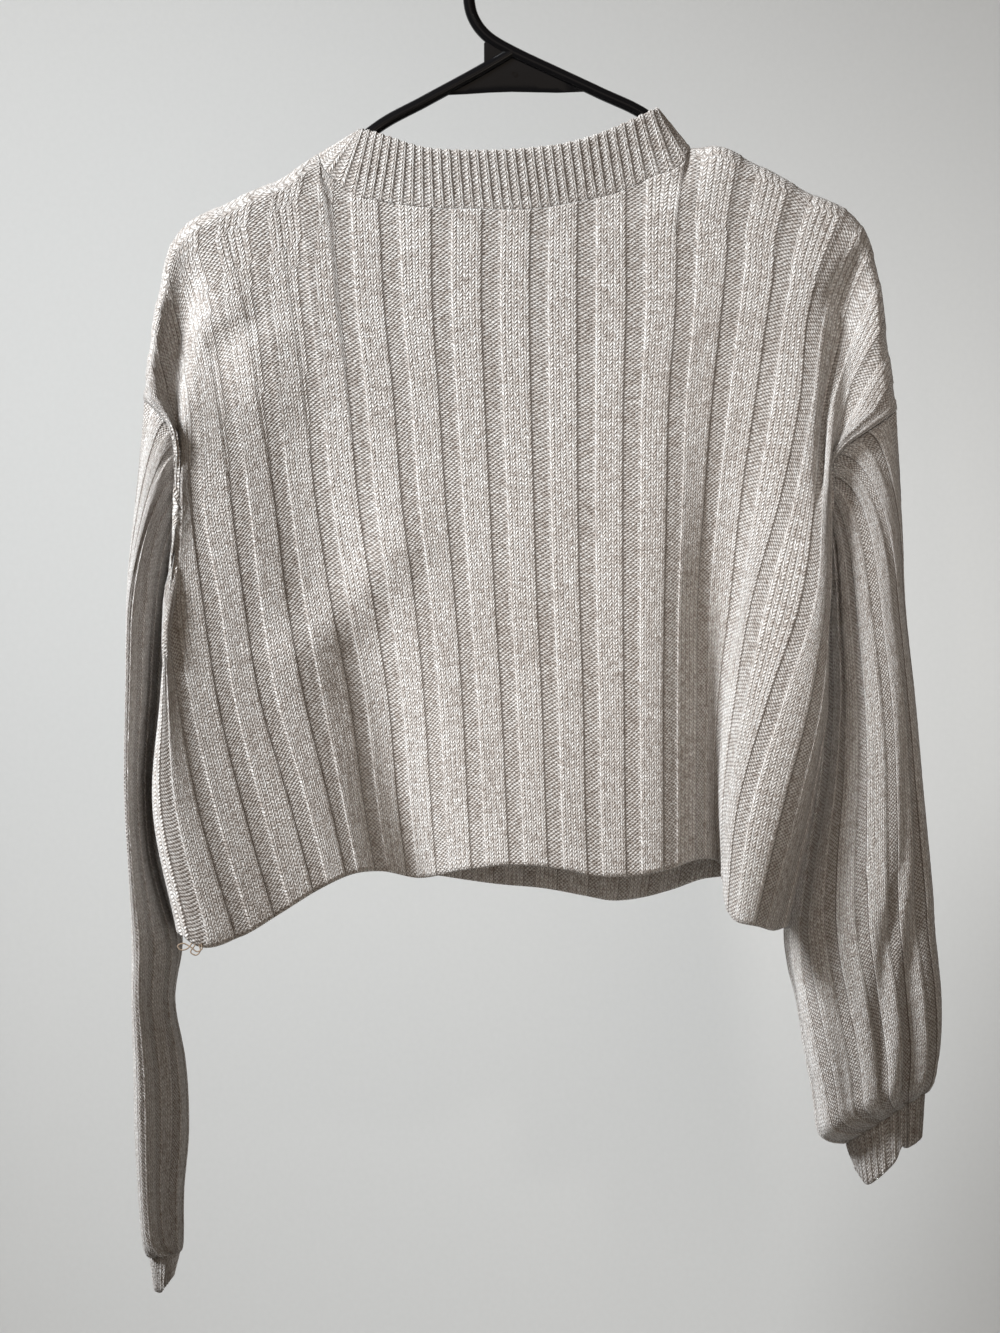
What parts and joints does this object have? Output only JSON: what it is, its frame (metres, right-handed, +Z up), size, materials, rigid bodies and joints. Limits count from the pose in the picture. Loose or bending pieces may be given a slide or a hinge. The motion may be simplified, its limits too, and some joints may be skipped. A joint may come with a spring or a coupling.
{
  "type": "cropped knit sweater on a hanger",
  "caption": "Cropped wide-rib knit sweater with a ribbed neckband and long narrow-cuffed sleeves, hanging from a tubular plastic hanger.",
  "frame": {"origin": "the highest point of the hook's inner side, where the rod bears on it", "axes": "+Z up, +Y out of the sweater's front, +X towards the sleeve on the right when the back is looked at"},
  "size_m": [0.5314, 0.1568, 0.8759],
  "materials": {
    "back_knit": "matte",
    "front_knit": "matte",
    "sleeve_knit": "matte",
    "cuff_knit": "matte",
    "neckband_knit": "matte",
    "hanger_plastic": "gloss"
  },
  "bodies": {
    "root": {"body_back": "back_knit", "body_front": "front_knit", "sleeve_left": "sleeve_knit", "sleeve_right": "sleeve_knit", "cuff_left": "cuff_knit", "cuff_right": "cuff_knit", "neckband": "neckband_knit", "hanger_arms": "hanger_plastic", "hanger_bar": "hanger_plastic", "hanger_hook": "hanger_plastic", "hanger_web": "hanger_plastic", "hanger_hub": "hanger_plastic"}
  },
  "joints": []
}
